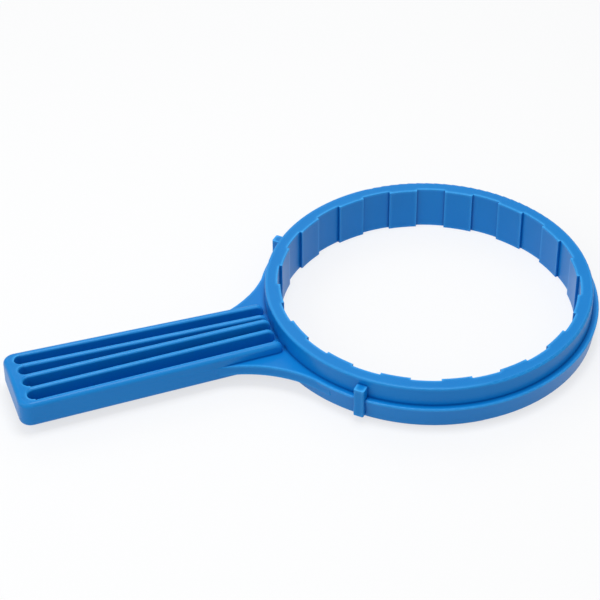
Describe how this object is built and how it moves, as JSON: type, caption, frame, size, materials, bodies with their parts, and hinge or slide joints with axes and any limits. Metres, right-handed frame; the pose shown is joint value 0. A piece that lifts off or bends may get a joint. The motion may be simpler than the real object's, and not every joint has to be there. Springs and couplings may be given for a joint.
{
  "type": "filter housing wrench",
  "caption": "One-piece plastic ring wrench with grip pads in the bore, an outer flange and a ribbed handle, for turning the screwed bowl of a water filter housing.",
  "frame": {"origin": "on the axis of the ring, at the level of the ring's foot", "axes": "+Z along the ring's axis, from its foot to its rim; the handle runs along -X from the ring"},
  "size_m": [0.3656, 0.2082, 0.0285],
  "materials": {
    "plastic": "satin moulded blue"
  },
  "bodies": {
    "root": {"wrench_body": "plastic"}
  },
  "joints": []
}
